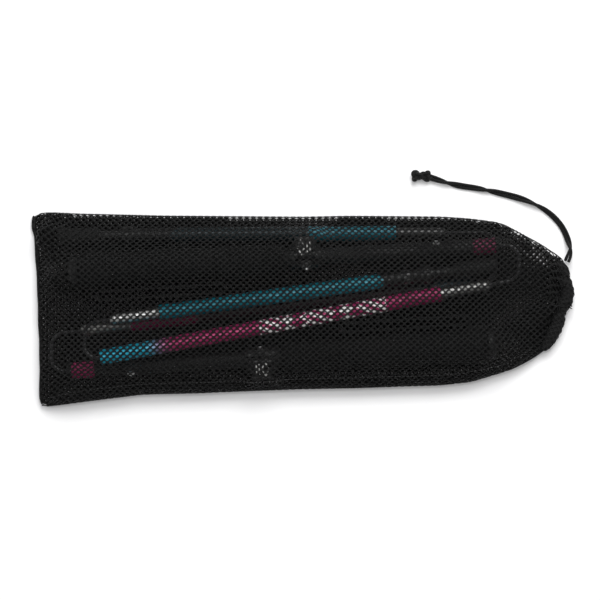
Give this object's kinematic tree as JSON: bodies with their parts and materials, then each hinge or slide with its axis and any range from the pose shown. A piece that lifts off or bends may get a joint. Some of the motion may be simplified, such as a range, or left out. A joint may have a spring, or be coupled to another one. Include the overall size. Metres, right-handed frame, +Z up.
{
  "type": "climbing stick set",
  "caption": "Folding climbing sticks with cable-linked sections, folded and laid head to tail in a black mesh drawstring bag with a knotted cord.",
  "frame": {"origin": "centre of the bag's footprint, on the ground", "axes": "+X along the bag from its sewn end to its drawstring mouth, +Y across it to the folded edge, +Z up"},
  "size_m": [0.4619, 0.2001, 0.0395],
  "materials": {
    "mesh_cloth": "black warp-knit polyester mesh",
    "seam_tape": "black doubled mesh and binding",
    "cord": "black braided polyester cord",
    "grip_foam": "matt black foam",
    "black_plastic": "moulded, fine texture",
    "webbing": "woven webbing",
    "black_tube": "black satin anodised",
    "steel": "bright zinc plate",
    "magenta_tube": "magenta satin anodised",
    "blue_tube": "teal blue satin anodised",
    "silver_ferrule": "plain satin anodised",
    "cable_coat": "smooth black coat",
    "carbide": "sintered grey",
    "rubber": "matt black rubber"
  },
  "bodies": {
    "bag": {"bag_bottom_layer": "mesh_cloth", "bag_top_layer": "mesh_cloth", "bag_end_seam": "seam_tape", "bag_side_seam": "seam_tape", "mouth_casing": "seam_tape", "drawstring_loop": "cord", "drawstring_strand_1": "cord", "drawstring_strand_2": "cord", "drawstring_knot": "cord"},
    "stick_1_upper": {"stick_1_grip": "grip_foam", "stick_1_grip_cap": "black_plastic", "stick_1_foam_sleeve": "grip_foam", "stick_1_strap": "webbing", "stick_1_strap_wedge": "black_plastic", "stick_1_outer_shaft": "black_tube", "stick_1_clamp_collar": "black_plastic", "stick_1_clamp_pin": "steel", "stick_1_clamp_screw": "steel"},
    "stick_1_lever": {"stick_1_clamp_lever": "black_plastic"},
    "stick_1_inner": {"stick_1_inner_shaft": "black_tube", "stick_1_inner_socket": "magenta_tube", "stick_1_button_spring": "steel", "stick_1_upper_cable": "cable_coat"},
    "stick_1_button": {"stick_1_lock_button": "steel"},
    "stick_1_middle": {"stick_1_middle_ferrule": "silver_ferrule", "stick_1_middle_shaft": "magenta_tube", "stick_1_middle_socket": "silver_ferrule", "stick_1_lower_cable": "cable_coat"},
    "stick_1_lower": {"stick_1_lower_ferrule": "silver_ferrule", "stick_1_lower_shaft": "blue_tube", "stick_1_tip_holder": "black_plastic", "stick_1_basket": "black_plastic", "stick_1_carbide_tip": "carbide"},
    "stick_1_cap": {"stick_1_tip_cap": "rubber"},
    "stick_2_upper": {"stick_2_grip": "grip_foam", "stick_2_grip_cap": "black_plastic", "stick_2_foam_sleeve": "grip_foam", "stick_2_strap": "webbing", "stick_2_strap_wedge": "black_plastic", "stick_2_outer_shaft": "black_tube", "stick_2_clamp_collar": "black_plastic", "stick_2_clamp_pin": "steel", "stick_2_clamp_screw": "steel"},
    "stick_2_lever": {"stick_2_clamp_lever": "black_plastic"},
    "stick_2_inner": {"stick_2_inner_shaft": "black_tube", "stick_2_inner_socket": "magenta_tube", "stick_2_button_spring": "steel", "stick_2_upper_cable": "cable_coat"},
    "stick_2_button": {"stick_2_lock_button": "steel"},
    "stick_2_middle": {"stick_2_middle_ferrule": "silver_ferrule", "stick_2_middle_shaft": "magenta_tube", "stick_2_middle_socket": "silver_ferrule", "stick_2_lower_cable": "cable_coat"},
    "stick_2_lower": {"stick_2_lower_ferrule": "silver_ferrule", "stick_2_lower_shaft": "blue_tube", "stick_2_tip_holder": "black_plastic", "stick_2_basket": "black_plastic", "stick_2_carbide_tip": "carbide"},
    "stick_2_cap": {"stick_2_tip_cap": "rubber"}
  },
  "joints": [
    {"name": "stick_1_shift", "type": "slide", "parent": "bag", "child": "stick_1_upper", "axis": [0.9981, 0.0614, 0], "range_m": [-0.003, 0.003]},
    {"name": "stick_1_telescope", "type": "slide", "parent": "stick_1_upper", "child": "stick_1_inner", "axis": [0.9981, 0.0614, 0], "range_m": [-0.01, 0.006]},
    {"name": "stick_1_lever", "type": "hinge", "parent": "stick_1_upper", "child": "stick_1_lever", "pos_m": [0.00207, 0.04636, 0.033], "axis": [0.9981, 0.0614, 0], "range_deg": [0, 25]},
    {"name": "stick_1_button", "type": "slide", "parent": "stick_1_inner", "child": "stick_1_button", "axis": [0.047, -0.7646, -0.6428], "range_m": [0, 0.0022], "stiffness_N_per_m": 1200, "deforming": ["stick_1_button_spring"]},
    {"name": "stick_1_fold_upper", "type": "hinge", "parent": "stick_1_inner", "child": "stick_1_middle", "pos_m": [0.164, 0.03755, 0.0208], "axis": [0, 0, 1], "range_deg": [-0.4, 0.4], "deforming": ["stick_1_upper_cable"]},
    {"name": "stick_1_fold_lower", "type": "hinge", "parent": "stick_1_middle", "child": "stick_1_lower", "pos_m": [-0.1688, -0.02515, 0.0233], "axis": [0, 0, 1], "range_deg": [-0.3, 0.3], "deforming": ["stick_1_lower_cable"]},
    {"name": "stick_1_cap_pull", "type": "slide", "parent": "stick_1_lower", "child": "stick_1_cap", "axis": [0.9901, 0.1405, -0.0012], "range_m": [0, 0.006]},
    {"name": "stick_2_shift", "type": "slide", "parent": "bag", "child": "stick_2_upper", "axis": [-0.9976, -0.0639, -0.0256], "range_m": [-0.003, 0.002]},
    {"name": "stick_2_telescope", "type": "slide", "parent": "stick_2_upper", "child": "stick_2_inner", "axis": [-0.9976, -0.0639, -0.0256], "range_m": [-0.006, 0.003]},
    {"name": "stick_2_lever", "type": "hinge", "parent": "stick_2_upper", "child": "stick_2_lever", "pos_m": [-0.03591, -0.04499, 0.02681], "axis": [-0.9976, -0.0639, -0.0256], "range_deg": [0, 12]},
    {"name": "stick_2_button", "type": "slide", "parent": "stick_2_inner", "child": "stick_2_button", "axis": [-0.0326, 0.7655, -0.6426], "range_m": [0, 0.0022], "stiffness_N_per_m": 1200, "deforming": ["stick_2_button_spring"]},
    {"name": "stick_2_fold_upper", "type": "hinge", "parent": "stick_2_inner", "child": "stick_2_middle", "pos_m": [-0.195, -0.03585, 0.0087], "axis": [0, 0, 1], "range_deg": [-0.8, 0.3], "deforming": ["stick_2_upper_cable"]},
    {"name": "stick_2_fold_lower", "type": "hinge", "parent": "stick_2_middle", "child": "stick_2_lower", "pos_m": [0.1338, 0.0439, 0.0083], "axis": [0, 0, 1], "range_deg": [-0.6, 0.6], "deforming": ["stick_2_lower_cable"]},
    {"name": "stick_2_cap_pull", "type": "slide", "parent": "stick_2_lower", "child": "stick_2_cap", "axis": [-0.9998, -0.0092, 0.0154], "range_m": [0, 0.004]}
  ]
}
